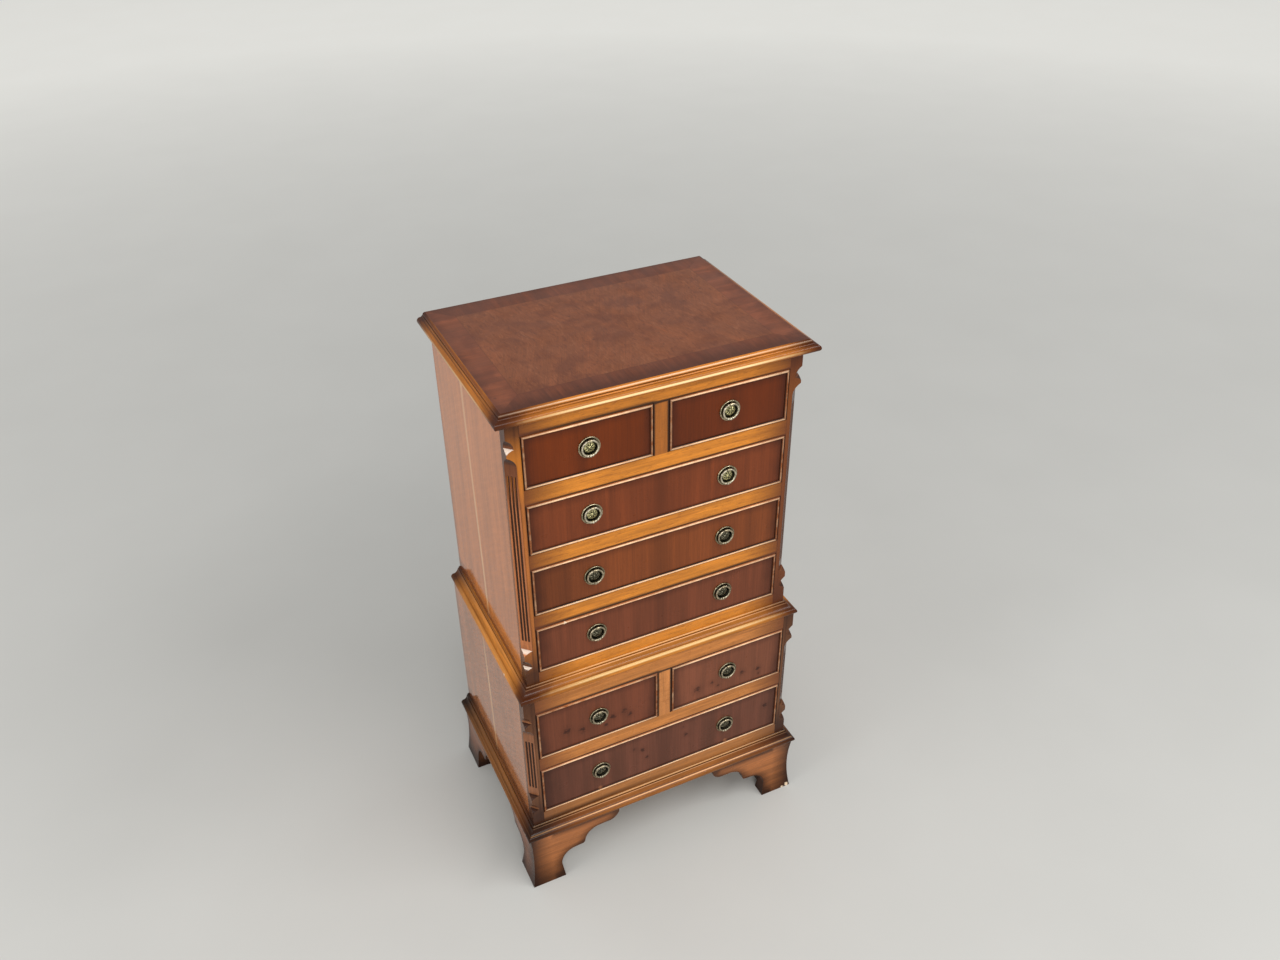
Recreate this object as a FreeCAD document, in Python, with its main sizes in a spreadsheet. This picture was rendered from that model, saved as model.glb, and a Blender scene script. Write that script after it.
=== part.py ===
import FreeCAD
import Part
import Sketcher
import math
import os
from types import SimpleNamespace

doc = FreeCAD.newDocument("chest_on_chest")

# Driving sizes in millimetres. Shares and counts carry no length.
SIZES = {
    # Cases, seen as two boxes one on the other, flush at the back
    "lower_width": 476,
    "lower_depth": 335,
    "lower_height": 297,
    "upper_setback": 14,
    "upper_height": 484.5,
    "top_thickness": 17.5,
    "foot_height": 115,
    "panel_thickness": 15,
    "back_thickness": 5,
    "board_thickness": 12,
    # Mouldings
    "base_projection": 16,
    "waist_overhang": 4,
    "top_overhang": 18,
    "top_edge": 9.5,
    "top_bead": 4.3,
    "moulding_height": 23,
    "nose_radius": 5.5,
    "quirk": 1.1,
    "bead_step": 3.2,
    # Corner posts with carved stops and flutes
    "upper_post_width": 20,
    "lower_post_width": 18.5,
    "post_depth": 20,
    "cant_leg": 13,
    "stop_leg": 10.8,
    "stop_block": 26.5,
    "stop_ledge": 7,
    "stop_slope": 16.5,
    "low_land": 9,
    "high_land": 4,
    "flute_margin": 18,
    "flute_radius": 1.7,
    "flute_pitch": 5,
    "flute_rise": 0.3,
    # Front frame and drawer runners
    "rail_depth": 40,
    "upper_top_rail": 26.1,
    "upper_rail": 25.3,
    "upper_bottom_rail": 42.5,
    "lower_top_rail": 27.2,
    "lower_rail": 26.2,
    "lower_bottom_rail": 45.6,
    "divider_width": 23,
    "runner_width": 22,
    "runner_height": 12,
    "guide_height": 14,
    "centre_runner_width": 62,
    # Drawers
    "drawer_gap": 1,
    "running_gap": 0.4,
    "space_behind_drawer": 26,
    "front_thickness": 18,
    "field_recess": 1,
    "cockbead_width": 4.5,
    "cockbead_depth": 9,
    "cockbead_proud": 1.5,
    "drawer_side": 10,
    "drawer_back": 10,
    "drawer_bottom": 4,
    "groove_depth": 4,
    "bottom_lift": 7,
    "side_drop": 8,
    "back_drop": 14,
    # Feet
    "side_foot_gap": 26.2,
    "bracket_inset": 10,
    "foot_flare": 14.2,
    "foot_shoulder": 12,
    "glue_block": 28,
    "glue_block_lift": 8,
    "rear_bracket_thickness": 16,
    "rear_bracket_length": 96,
    "rear_bracket_toe": 46,
    # Ring handles
    "plate_radius": 16.3,
    "plate_thickness": 1.4,
    "rim_width": 1.9,
    "rim_rise": 1.1,
    "dome_radius": 7.4,
    "dome_rise": 1.6,
    "button_radius": 2.6,
    "ring_radius": 11.9,
    "wire_radius": 1.5,
    "knop_radius": 2.4,
    "knop_bead_radius": 2,
    "knop_spread": 3.7,
    "ring_stand": 4.8,
    "ring_gap": 0.4,
    "knuckle_radius": 2.4,
    "knuckle_width": 5,
    "pin_radius": 1.2,
    "pin_clearance": 0.05,
    "pin_stop": 0.5,
    "stud_radius": 1.7,
    "stud_clearance": 0.15,
    "stud_tail": 1.5,
    "nut_radius": 4.2,
    "nut_height": 3,
    # How far a cutting shape runs past what it cuts
    "overrun": 3,
}

# Foot scroll from floor to moulding: share of the length, share of the height, arc turn to the next point
SCROLL_SHARES = (
    (0.362, 0, 0),
    (0.338, 0.25, -0.414),
    (0.508, 0.49, 0),
    (0.57, 0.497, 0.414),
    (0.613, 0.545, -0.414),
    (0.81, 0.778, 0),
    (0.905, 0.778, 0.414),
    (1, 1, 0),
)
FOOT_SWEEP_SHARE = -0.082
COVE_SHARE = -0.24
TONGUE_SHARE = -0.2
SCOOP_SHARE = 0.22
COCKBEAD_SHARE = 0.62
DOME_SHARE = 0.16
QUARTER_SHARE = math.tan(math.pi / 8)
UPPER_ROWS = 4
LOWER_ROWS = 2
FULL_TURN = 360
HALF_TURN = 180
NUT_SIDES = 6
FLUTE_PLACES = (-1, 0, 1)

X = FreeCAD.Vector(1, 0, 0)
Y = FreeCAD.Vector(0, 1, 0)
Z = FreeCAD.Vector(0, 0, 1)

sheet = doc.addObject("Spreadsheet::Sheet", "Sizes")
for row, (alias, number) in enumerate(SIZES.items(), 1):
    sheet.set(f"A{row}", alias)
    sheet.set(f"B{row}", str(number))
    sheet.setAlias(f"B{row}", alias)
doc.recompute()


class Size:
    """A length that keeps its number beside its formula in the sheet."""

    def __init__(self, number, formula):
        self.number = number
        self.formula = formula

    def __add__(self, other):
        other = size(other)
        return Size(self.number + other.number, f"({self.formula} + {other.formula})")

    def __sub__(self, other):
        other = size(other)
        return Size(self.number - other.number, f"({self.formula} - {other.formula})")

    def __mul__(self, share):
        return Size(self.number * size(share).number, f"({self.formula} * {size(share).formula})")

    def __truediv__(self, share):
        return Size(self.number / size(share).number, f"({self.formula} / {size(share).formula})")

    def __neg__(self):
        return Size(-self.number, f"(0 - {self.formula})")

    __radd__ = __add__
    __rmul__ = __mul__


def size(value):
    return value if isinstance(value, Size) else Size(value, f"{value:.6g}")


def root(value):
    return Size(math.sqrt(value.number), f"sqrt({value.formula})")


def bind(piece, **formulas):
    """Gives each property its number and ties it to the sheet."""
    for name, value in formulas.items():
        piece.setExpression(name, size(value).formula)


def place(piece, x=0, y=0, z=0, turn=None):
    if turn:
        piece.Placement = FreeCAD.Placement(FreeCAD.Vector(), turn)
    for axis, value in zip("xyz", (x, y, z)):
        piece.setExpression(f"Placement.Base.{axis}", size(value).formula)
    return piece


def facing(across, up):
    """Turn that lays a sketch with its first axis along across and its second along up."""
    return FreeCAD.Rotation(across, up, across.cross(up), "XYZ")


def box(name, x0, x1, y0, y1, z0, z1):
    piece = doc.addObject("Part::Box", name)
    bind(piece, Length=size(x1) - x0, Width=size(y1) - y0, Height=size(z1) - z0)
    return place(piece, x0, y0, z0)


def cylinder(name, radius, length, x, y, z, along):
    piece = doc.addObject("Part::Cylinder", name)
    bind(piece, Radius=radius, Height=length)
    return place(piece, x, y, z, FreeCAD.Rotation(Z, along))


def sphere(name, radius, x, y, z):
    piece = doc.addObject("Part::Sphere", name)
    bind(piece, Radius=radius)
    return place(piece, x, y, z)


def cut(name, base, tools):
    piece = doc.addObject("Part::Cut", name)
    piece.Base = base
    piece.Tool = tools[0] if len(tools) == 1 else group(name + "_cutters", tools)
    return piece


def fuse(name, pieces):
    piece = doc.addObject("Part::MultiFuse", name)
    piece.Shapes = pieces
    return piece


def common(name, pieces):
    piece = doc.addObject("Part::MultiCommon", name)
    piece.Shapes = pieces
    return piece


def group(name, pieces):
    piece = doc.addObject("Part::Compound", name)
    piece.Links = pieces
    return piece


def mirror(name, source, normal):
    piece = doc.addObject("Part::Mirroring", name)
    piece.Source = source
    piece.Normal = normal
    return piece


def outline(name, points, turn, x=0, y=0, z=0):
    """Closed outline through points (across, up, share); a share is the tangent of a quarter of the arc."""
    sketch = doc.addObject("Sketcher::SketchObject", name)
    corners = [(size(a), size(b), bulge) for a, b, bulge in points]
    ends = []
    arcs = []
    for i, (a, b, bulge) in enumerate(corners):
        a1, b1, _ = corners[(i + 1) % len(corners)]
        start = FreeCAD.Vector(a.number, b.number, 0)
        stop = FreeCAD.Vector(a1.number, b1.number, 0)
        if not bulge:
            sketch.addGeometry(Part.LineSegment(start, stop))
            ends.append((1, 2))
            continue
        middle = (start + stop) * 0.5
        left = Z.cross(stop - start)
        hub = middle + left * ((1 - bulge * bulge) / (4 * bulge))
        radius = (start - hub).Length
        first, last = (start, stop) if bulge > 0 else (stop, start)
        from_angle = math.atan2(first.y - hub.y, first.x - hub.x)
        to_angle = math.atan2(last.y - hub.y, last.x - hub.x)
        sketch.addGeometry(Part.ArcOfCircle(Part.Circle(hub, Z, radius), from_angle, to_angle))
        ends.append((1, 2) if bulge > 0 else (2, 1))
        chord = root((a1 - a) * (a1 - a) + (b1 - b) * (b1 - b))
        arcs.append((i, chord * ((1 + bulge * bulge) / (4 * abs(bulge)))))
    for i, (a, b, bulge) in enumerate(corners):
        after = (i + 1) % len(corners)
        sketch.addConstraint(Sketcher.Constraint("Coincident", i, ends[i][1], after, ends[after][0]))
    formulas = []
    for i, (a, b, bulge) in enumerate(corners):
        for kind, value, axis in (("DistanceX", a, -2), ("DistanceY", b, -1)):
            if value.number == 0:
                sketch.addConstraint(Sketcher.Constraint("PointOnObject", i, ends[i][0], axis))
                continue
            rule = Sketcher.Constraint(kind, -1, 1, i, ends[i][0], value.number)
            formulas.append((sketch.addConstraint(rule), value))
    for i, radius in arcs:
        formulas.append((sketch.addConstraint(Sketcher.Constraint("Radius", i, radius.number)), radius))
    for index, value in formulas:
        sketch.setExpression(f"Constraints[{index}]", value.formula)
    return place(sketch, x, y, z, turn)


def prism(name, points, length, turn, x=0, y=0, z=0):
    """Outline carried straight along its own facing."""
    piece = doc.addObject("Part::Extrusion", name)
    piece.Base = outline(name + "_outline", points, turn, x, y, z)
    piece.DirMode = "Normal"
    piece.Solid = True
    bind(piece, LengthFwd=length)
    return piece


s = SimpleNamespace(**{alias: Size(float(number), f"Sizes.{alias}") for alias, number in SIZES.items()})
back = (s.lower_depth + s.base_projection) / 2
drawer_length = s.lower_depth - s.upper_setback - s.back_thickness - s.space_behind_drawer
bracket_length = (s.lower_depth + s.foot_flare - s.side_foot_gap) / 2
waist_level = s.foot_height + s.lower_height
top_level = waist_level + s.upper_height
lower = SimpleNamespace(
    name="lower",
    half=s.lower_width / 2,
    front=back - s.lower_depth,
    low=s.foot_height,
    high=waist_level,
    post=s.lower_post_width,
    top_rail=s.lower_top_rail,
    rail=s.lower_rail,
    bottom_rail=s.lower_bottom_rail,
    rows=LOWER_ROWS,
)
upper = SimpleNamespace(
    name="upper",
    half=lower.half - s.upper_setback,
    front=lower.front + s.upper_setback,
    low=waist_level,
    high=top_level,
    post=s.upper_post_width,
    top_rail=s.upper_top_rail,
    rail=s.upper_rail,
    bottom_rail=s.upper_bottom_rail,
    rows=UPPER_ROWS,
)
for case in (lower, upper):
    rails = case.top_rail + case.bottom_rail + case.rail * (case.rows - 1)
    case.opening = (case.high - case.low - rails) / case.rows
nodes = []


def node(label, piece):
    piece.Label = label
    nodes.append(piece)
    return piece


def sill(case, row):
    """Height of the lower edge of a drawer opening, counted from the top."""
    return case.high - case.top_rail - case.opening * (row + 1) - case.rail * row


# Case boards
def case_boards(case):
    inner = case.half - s.panel_thickness
    behind_post = case.front + s.post_depth
    behind_rail = case.front + s.rail_depth
    before_back = back - s.back_thickness
    left = box(case.name + "_left", -case.half, -inner, behind_post, back, case.low, case.high)
    right = box(case.name + "_right", inner, case.half, behind_post, back, case.low, case.high)
    rear = box(case.name + "_rear", -inner, inner, before_back, back, case.low, case.high)
    floor_top = case.low + s.board_thickness
    floor = box(case.name + "_floor", -inner, inner, behind_rail, before_back, case.low, floor_top)
    node(case.name + "_side_left", left)
    node(case.name + "_side_right", right)
    node(case.name + "_back", rear)
    node(case.name + "_bottom", floor)


# Rails, divider and runners that carry the drawers
def front_frame(case):
    clear = case.half - case.post
    inner = case.half - s.panel_thickness
    behind_rail = case.front + s.rail_depth
    before_back = back - s.back_thickness
    edges = [case.high]
    for row in range(case.rows):
        edges += [sill(case, row) + case.opening, sill(case, row)]
    edges.append(case.low)
    rails = []
    for i in range(0, len(edges), 2):
        name = f"{case.name}_rail_{i}"
        rails.append(box(name, -clear, clear, case.front, behind_rail, edges[i + 1], edges[i]))
    low = sill(case, 0)
    side = s.divider_width / 2
    rails.append(box(case.name + "_divider", -side, side, case.front, behind_rail, low, low + case.opening))
    node(case.name + "_front_rails", group(case.name + "_rail_set", rails))
    runners = []
    for row in range(case.rows):
        low = sill(case, row)
        under = low - s.runner_height
        over = low + s.guide_height
        tag = f"{case.name}_{row}"
        reach = inner - s.runner_width
        runners += [
            box(tag + "_runner_left", -inner, -reach, behind_rail, before_back, under, low),
            box(tag + "_runner_right", reach, inner, behind_rail, before_back, under, low),
            box(tag + "_guide_left", -inner, -clear, behind_rail, before_back, low, over),
            box(tag + "_guide_right", clear, inner, behind_rail, before_back, low, over),
        ]
    low = sill(case, 0)
    span = s.centre_runner_width / 2
    runners += [
        box(case.name + "_centre_runner", -span, span, behind_rail, before_back, low - s.runner_height, low),
        box(case.name + "_centre_guide", -side, side, behind_rail, before_back, low, low + s.guide_height),
    ]
    node(case.name + "_runners", group(case.name + "_runner_set", runners))


# Canted corner posts: carved stops, then a long cant with three flutes
def corner_posts(case, low_edge, high_edge):
    """Every carved face runs level at 45 degrees across the corner, so each notch is one outline.

    Its foot is a rounded tongue and its head a hollow scoop."""
    past = s.overrun
    inward = FreeCAD.Vector(1, 1, 0).normalize()
    shift = past / math.sqrt(2)
    tag = case.name + "_post"

    def notch(name, leg, low, run):
        depth = leg / math.sqrt(2)
        ledge_past = s.stop_ledge * past / depth
        slope_past = s.stop_slope * past / depth
        foot = ledge_past + s.stop_ledge
        head = foot + run + s.stop_slope
        points = [
            (0, 0, 0),
            (past, ledge_past, TONGUE_SHARE),
            (past + depth, foot, 0),
            (past + depth, foot + run, SCOOP_SHARE),
            (past, head, 0),
            (0, head + slope_past, 0),
        ]
        if not run:
            points.pop(2)
        half_width = leg + past
        side = half_width / math.sqrt(2)
        return prism(
            name,
            points,
            half_width * 2,
            facing(inward, Z),
            -case.half - shift - side,
            case.front - shift + side,
            low - ledge_past,
        )

    notch_height = s.stop_ledge + s.stop_slope
    low_notch = low_edge + s.stop_block
    run_low = low_notch + notch_height + s.low_land
    high_notch = high_edge - s.stop_block - notch_height
    run_height = high_notch - s.high_land - notch_height - run_low
    cutters = [
        notch(tag + "_low_notch", s.stop_leg, low_notch, 0),
        notch(tag + "_cant", s.cant_leg, run_low, run_height),
        notch(tag + "_high_notch", s.stop_leg, high_notch, 0),
    ]
    flute_low = run_low + s.stop_ledge + s.flute_margin
    flute_high = run_low + s.stop_ledge + run_height - s.flute_margin
    proud = s.flute_rise / math.sqrt(2)
    for i in FLUTE_PLACES:
        slide = s.flute_pitch * (i / math.sqrt(2))
        x = -case.half + s.cant_leg / 2 - proud + slide
        y = case.front + s.cant_leg / 2 - proud - slide
        name = f"{tag}_flute_{i + 1}"
        cutters.append(
            fuse(
                name,
                [
                    cylinder(name + "_run", s.flute_radius, flute_high - flute_low, x, y, flute_low, Z),
                    sphere(name + "_foot", s.flute_radius, x, y, flute_low),
                    sphere(name + "_head", s.flute_radius, x, y, flute_high),
                ],
            )
        )
    blank = box(
        tag + "_blank", -case.half, -case.half + case.post,
        case.front, case.front + s.post_depth, case.low, case.high,
    )
    left = cut(tag + "_left", blank, cutters)
    node(case.name + "_corner_posts", group(tag + "_pair", [left, mirror(tag + "_right", left, X)]))


# Mouldings in three lengths, mitred at the front corners and square at the back
def mitred_band(label, half, front, low, profile, projection):
    reach = projection + s.overrun
    height = s.moulding_height
    whole = (half + reach) * 2
    across = prism(label + "_across", profile, whole, facing(-Y, Z), half + reach, front, low)
    across_plan = [(0, 0, 0), (whole, 0, 0), (whole - reach, reach, 0), (reach, reach, 0)]
    across_limit = prism(
        label + "_across_limit", across_plan, height, facing(X, Y), -half - reach, front - reach, low,
    )
    run = back - front + reach
    along = prism(label + "_along", profile, run, facing(-X, Z), -half, front - reach, low)
    along_plan = [(0, 0, 0), (reach, reach, 0), (reach, run, 0), (0, run, 0)]
    along_limit = prism(
        label + "_along_limit", along_plan, height, facing(X, Y), -half - reach, front - reach, low,
    )
    front_piece = common(label + "_front", [across, across_limit])
    left = common(label + "_left", [along, along_limit])
    node(label, group(label + "_set", [front_piece, left, mirror(label + "_right", left, X)]))


def moulded_edge(projection):
    """Round nose, quirk, cove and a small bead against the case."""
    nose = projection - s.nose_radius
    nose_top = s.nose_radius * 2
    bead_low = s.moulding_height - s.bead_step
    return [
        (0, 0, 0),
        (nose, 0, QUARTER_SHARE),
        (projection, s.nose_radius, QUARTER_SHARE),
        (nose, nose_top, 0),
        (nose - s.quirk, nose_top, COVE_SHARE),
        (s.bead_step + s.quirk, bead_low, 0),
        (s.bead_step, bead_low, QUARTER_SHARE),
        (0, s.moulding_height, 0),
    ]


def top():
    """Board framed by its moulding: round nose, quirk, cove and a quarter-round bead flush with the board."""
    lip = s.top_overhang - s.top_edge
    inner = lip - s.top_bead
    nose = s.top_overhang - s.nose_radius
    nose_top = s.nose_radius * 2
    shelf = s.top_thickness - s.top_bead
    edge = [
        (inner, 0, 0),
        (nose, 0, QUARTER_SHARE),
        (s.top_overhang, s.nose_radius, QUARTER_SHARE),
        (nose, nose_top, 0),
        (nose - s.quirk, nose_top, COVE_SHARE),
        (lip + s.quirk, shelf, 0),
        (lip, shelf, QUARTER_SHARE),
        (inner, s.top_thickness, 0),
    ]
    half = upper.half + inner
    panel = box("top_slab", -half, half, upper.front - inner, back, top_level, top_level + s.top_thickness)
    node("top_board", panel)
    mitred_band("top_moulding", upper.half, upper.front, top_level, edge, s.top_overhang)


# Drawers
def cockbeads(name, x0, x1, z0, z1, face):
    """Four round-nosed strips mitred round the drawer front."""
    width = s.cockbead_width
    depth = s.cockbead_depth
    straight = depth - s.cockbead_proud
    section = [(0, 0, 0), (straight, 0, COCKBEAD_SHARE), (straight, width, 0), (0, width, 0)]
    rear = face - s.cockbead_proud + depth
    wide = x1 - x0
    tall = z1 - z0
    flat = [(0, 0, 0), (wide, 0, 0), (wide - width, width, 0), (width, width, 0)]
    upright = [(0, 0, 0), (width, width, 0), (width, tall - width, 0), (0, tall, 0)]
    reach = depth + s.overrun
    lows = common(
        name + "_bead_low",
        [
            prism(name + "_low_run", section, wide, facing(-Y, Z), x1, rear, z0),
            prism(name + "_low_limit", flat, reach, facing(X, Z), x0, rear, z0),
        ],
    )
    lefts = common(
        name + "_bead_left",
        [
            prism(name + "_left_run", section, tall, facing(-Y, X), x0, rear, z0),
            prism(name + "_left_limit", upright, reach, facing(X, Z), x0, rear, z0),
        ],
    )
    over = mirror(name + "_bead_high", lows, Z)
    bind(over, **{"Base.z": (z0 + z1) / 2})
    right = mirror(name + "_bead_right", lefts, X)
    bind(right, **{"Base.x": (x0 + x1) / 2})
    return [lows, over, lefts, right]


def drawer(name, case, row, x0, x1, handle_xs):
    low = sill(case, row) + s.drawer_gap
    high = sill(case, row) + case.opening - s.drawer_gap
    face = case.front + s.field_recess
    bead_rear = case.front - s.cockbead_proud + s.cockbead_depth
    rear = face + s.front_thickness
    end = case.front + drawer_length
    width = s.cockbead_width
    middle = (low + high) / 2

    edge = sill(case, row) + s.running_gap
    floor_low = edge + s.bottom_lift
    floor_high = floor_low + s.drawer_bottom
    side_high = high - s.side_drop
    left_in = x0 + s.drawer_side
    right_in = x1 - s.drawer_side
    groove_left = left_in - s.groove_depth
    groove_right = right_in + s.groove_depth

    slab = fuse(
        name + "_slab",
        [
            box(name + "_field", x0 + width, x1 - width, face, rear, low + width, high - width),
            box(name + "_lip", x0, x1, bead_rear, rear, low, high),
        ],
    )
    groove_front = rear - s.groove_depth
    hole = s.stud_radius + s.stud_clearance
    front_groove = box(
        name + "_front_groove", groove_left, groove_right, groove_front, rear, floor_low, floor_high,
    )
    hollows = [front_groove]
    for i, x in enumerate(handle_xs):
        hollows.append(cylinder(f"{name}_hole_{i}", hole, s.front_thickness, x, face, middle + pivot_rise, Y))
    front = cut(name + "_board", slab, hollows)
    beads = cockbeads(name, x0, x1, low, high, case.front)
    node("drawer_front_" + name, group(name + "_front_set", [front] + beads))

    left = cut(
        name + "_side_left",
        box(name + "_left_blank", x0, left_in, rear, end, edge, side_high),
        [box(name + "_left_groove", groove_left, left_in, rear, end, floor_low, floor_high)],
    )
    right = cut(
        name + "_side_right",
        box(name + "_right_blank", right_in, x1, rear, end, edge, side_high),
        [box(name + "_right_groove", right_in, groove_right, rear, end, floor_low, floor_high)],
    )
    tail = box(name + "_tail", left_in, right_in, end - s.drawer_back, end, floor_high, high - s.back_drop)
    floor = box(name + "_floor", groove_left, groove_right, groove_front, end, floor_low, floor_high)
    node("drawer_box_" + name, group(name + "_box_set", [left, right, tail, floor]))

    sides = ("",) if len(handle_xs) == 1 else ("_left", "_right")
    mounts = []
    for x, side in zip(handle_xs, sides):
        mounts.append(place(group(name + "_mount" + side, handle_mount), x, face, middle))
        ring = place(group(name + "_ring" + side, [ring_pull]), x, face, middle)
        node("ring_" + name + side, ring)
    node("handle_plates_" + name, group(name + "_mount_set", mounts))


# Ring handle, drawn with the drawer face at zero and the plate centre at the origin
def handle_parts():
    rim_in = s.plate_radius - s.rim_width
    plate_face = [
        (0, 0, 0),
        (s.plate_radius, 0, 0),
        (s.plate_radius, s.plate_thickness, QUARTER_SHARE),
        (s.plate_radius - s.rim_width / 2, s.plate_thickness + s.rim_rise, QUARTER_SHARE),
        (rim_in, s.plate_thickness, 0),
        (s.dome_radius, s.plate_thickness, DOME_SHARE),
        (s.button_radius, s.plate_thickness + s.dome_rise, 0),
        (0, s.plate_thickness + s.dome_rise, 0),
    ]
    dish = doc.addObject("Part::Revolution", "plate_turned")
    dish.Source = outline("plate_half", plate_face, facing(X, -Y))
    dish.Axis = Y
    dish.Angle = FULL_TURN
    dish.Solid = True
    hole = s.stud_radius + s.stud_clearance
    through = s.plate_thickness + s.overrun
    plate = cut("plate", dish, [cylinder("plate_hole", hole, through, 0, -through, pivot_rise, Y)])
    half = s.knuckle_width / 2
    stud_length = s.ring_stand + s.front_thickness + s.nut_height + s.stud_tail
    body = fuse(
        "knuckle_body",
        [
            cylinder("knuckle", s.knuckle_radius, s.knuckle_width, -half, -s.ring_stand, pivot_rise, X),
            cylinder("stud", s.stud_radius, stud_length, 0, -s.ring_stand, pivot_rise, Y),
        ],
    )
    bore = s.pin_radius + s.pin_clearance
    reach = half + s.overrun
    post = cut("post", body, [cylinder("bore", bore, reach * 2, -reach, -s.ring_stand, pivot_rise, X)])
    nut_blank = doc.addObject("Part::Prism", "nut_blank")
    nut_blank.Polygon = NUT_SIDES
    bind(nut_blank, Circumradius=s.nut_radius, Height=s.nut_height)
    place(nut_blank, 0, s.front_thickness, pivot_rise, FreeCAD.Rotation(Z, Y))
    nut = cut(
        "nut", nut_blank, [cylinder("nut_hole", hole, s.nut_height, 0, s.front_thickness, pivot_rise, Y)]
    )
    return [plate, post, nut]


def ring_parts():
    """Each half runs from the foot of the ring up to a ball, with a pin from the ball into the knuckle.

    A knop between two beads thickens the foot of the ring, where the finger pulls."""
    bead_drop = root(s.ring_radius * s.ring_radius - s.knop_spread * s.knop_spread)
    wire = doc.addObject("Part::Torus", "ring_wire")
    bind(wire, Radius1=s.ring_radius, Radius2=s.wire_radius)
    wire.setExpression("Angle3", f"{HALF_TURN} - asin({(ball_out / s.ring_radius).formula}) / 1 deg")
    place(wire, 0, -s.ring_stand, 0, facing(-Z, X))
    half = fuse(
        "ring_half",
        [
            wire,
            sphere("ring_ball", s.wire_radius, ball_out, -s.ring_stand, pivot_rise),
            sphere("knop_bead", s.knop_bead_radius, s.knop_spread, -s.ring_stand, -bead_drop),
            cylinder(
                "ring_pin", s.pin_radius, ball_out - s.pin_stop, s.pin_stop, -s.ring_stand, pivot_rise, X,
            ),
        ],
    )
    knop = sphere("ring_knop", s.knop_radius, 0, -s.ring_stand, -s.ring_radius)
    return fuse("ring_whole", [half, mirror("ring_other_half", half, X), knop])


# Swept bracket feet
def bracket(name, end_past, start):
    """Swept section along the case, sawn to the scroll outline, which is measured from start."""
    swept = [
        (0, 0, 0),
        (s.bracket_inset + s.foot_flare, 0, FOOT_SWEEP_SHARE),
        (s.bracket_inset + s.foot_shoulder, s.foot_height, 0),
        (0, s.foot_height, 0),
    ]
    scroll = [(0, 0, 0)]
    for along, up, bulge in SCROLL_SHARES:
        scroll.append((bracket_length * along, s.foot_height * up, bulge))
    scroll.append((0, s.foot_height, 0))
    run = bracket_length + end_past
    reach = s.bracket_inset + s.foot_flare + s.overrun
    return [
        prism(name + "_swept", swept, run, facing(-Y, Z), start + run, s.bracket_inset, 0),
        prism(name + "_scroll", scroll, reach, facing(X, Z), start, s.bracket_inset, 0),
    ]


def front_feet():
    reach = s.foot_flare + s.overrun
    length = bracket_length + s.overrun
    plan = [
        (0, 0, 0),
        (reach + length, 0, 0),
        (reach + length, reach + s.bracket_inset, 0),
        (reach + s.bracket_inset, reach + s.bracket_inset, 0),
    ]
    mitre = prism("foot_mitre", plan, s.foot_height, facing(X, Y), -reach, -reach, 0)
    face = common("front_bracket", bracket("front_bracket", s.overrun, -s.foot_flare) + [mitre])
    side = mirror("front_side_bracket", face, FreeCAD.Vector(1, -1, 0))
    far = s.bracket_inset + s.glue_block
    block = box(
        "front_block", s.bracket_inset, far, s.bracket_inset, far, s.glue_block_lift, s.foot_height,
    )
    left = place(group("front_foot_set", [face, side, block]), -lower.half, lower.front)
    node("front_foot_left", left)
    node("front_foot_right", mirror("front_foot_other", left, X))


def rear_feet():
    side = common("rear_bracket", bracket("rear_bracket", s.overrun, size(0)))
    toe = [
        (0, 0, 0),
        (s.rear_bracket_toe, 0, 0),
        (s.rear_bracket_length, s.foot_height, 0),
        (0, s.foot_height, 0),
    ]
    turned = place(group("rear_side_bracket", [side]), 0, 0, 0, FreeCAD.Rotation(X, -Y))
    inset = s.bracket_inset
    plain = prism("rear_plain_bracket", toe, s.rear_bracket_thickness, facing(X, Z), inset, 0, 0)
    near = -s.rear_bracket_thickness
    far = near - s.glue_block
    block = box("rear_block", inset, inset + s.glue_block, far, near, s.glue_block_lift, s.foot_height)
    left = place(group("rear_foot_set", [turned, plain, block]), -lower.half, back)
    node("rear_foot_left", left)
    node("rear_foot_right", mirror("rear_foot_other", left, X))


ball_out = s.knuckle_width / 2 + s.ring_gap + s.wire_radius
pivot_rise = root(s.ring_radius * s.ring_radius - ball_out * ball_out)
handle_mount = handle_parts()
ring_pull = ring_parts()

for case in (lower, upper):
    case_boards(case)
    front_frame(case)
corner_posts(lower, lower.low + s.moulding_height, lower.high)
corner_posts(upper, upper.low + s.moulding_height, upper.high)
inside = lower.half - s.panel_thickness
cover_front = lower.front + s.rail_depth
cover_low = lower.high - s.board_thickness
cover = box("lower_cover", -inside, inside, cover_front, back - s.back_thickness, cover_low, lower.high)
node("lower_top", cover)
base_edge = moulded_edge(s.base_projection)
mitred_band("base_moulding", lower.half, lower.front, lower.low, base_edge, s.base_projection)
waist_projection = s.upper_setback + s.waist_overhang
waist_edge = moulded_edge(waist_projection)
mitred_band("waist_moulding", upper.half, upper.front, upper.low, waist_edge, waist_projection)
top()
front_feet()
rear_feet()

for case, long_rows in ((upper, ("second", "third", "fourth")), (lower, ("second",))):
    edge = case.half - case.post - s.drawer_gap
    inner_edge = s.divider_width / 2 + s.drawer_gap
    handle = (edge + inner_edge) / 2
    drawer(case.name + "_left", case, 0, -edge, -inner_edge, [-handle])
    drawer(case.name + "_right", case, 0, inner_edge, edge, [handle])
    for row, word in enumerate(long_rows, 1):
        drawer(f"{case.name}_{word}", case, row, -edge, edge, [-handle, handle])

doc.recompute()
for piece in doc.Objects:
    if "Invalid" in piece.State or "Error" in piece.State:
        raise RuntimeError(f"{piece.Label} did not build: {piece.State}")
os.makedirs("parts", exist_ok=True)
for piece in nodes:
    if piece.Shape.isNull() or not piece.Shape.isValid():
        raise RuntimeError(f"{piece.Label} has no sound shape")
    piece.Shape.exportStep(f"parts/{piece.Label}.step")
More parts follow.
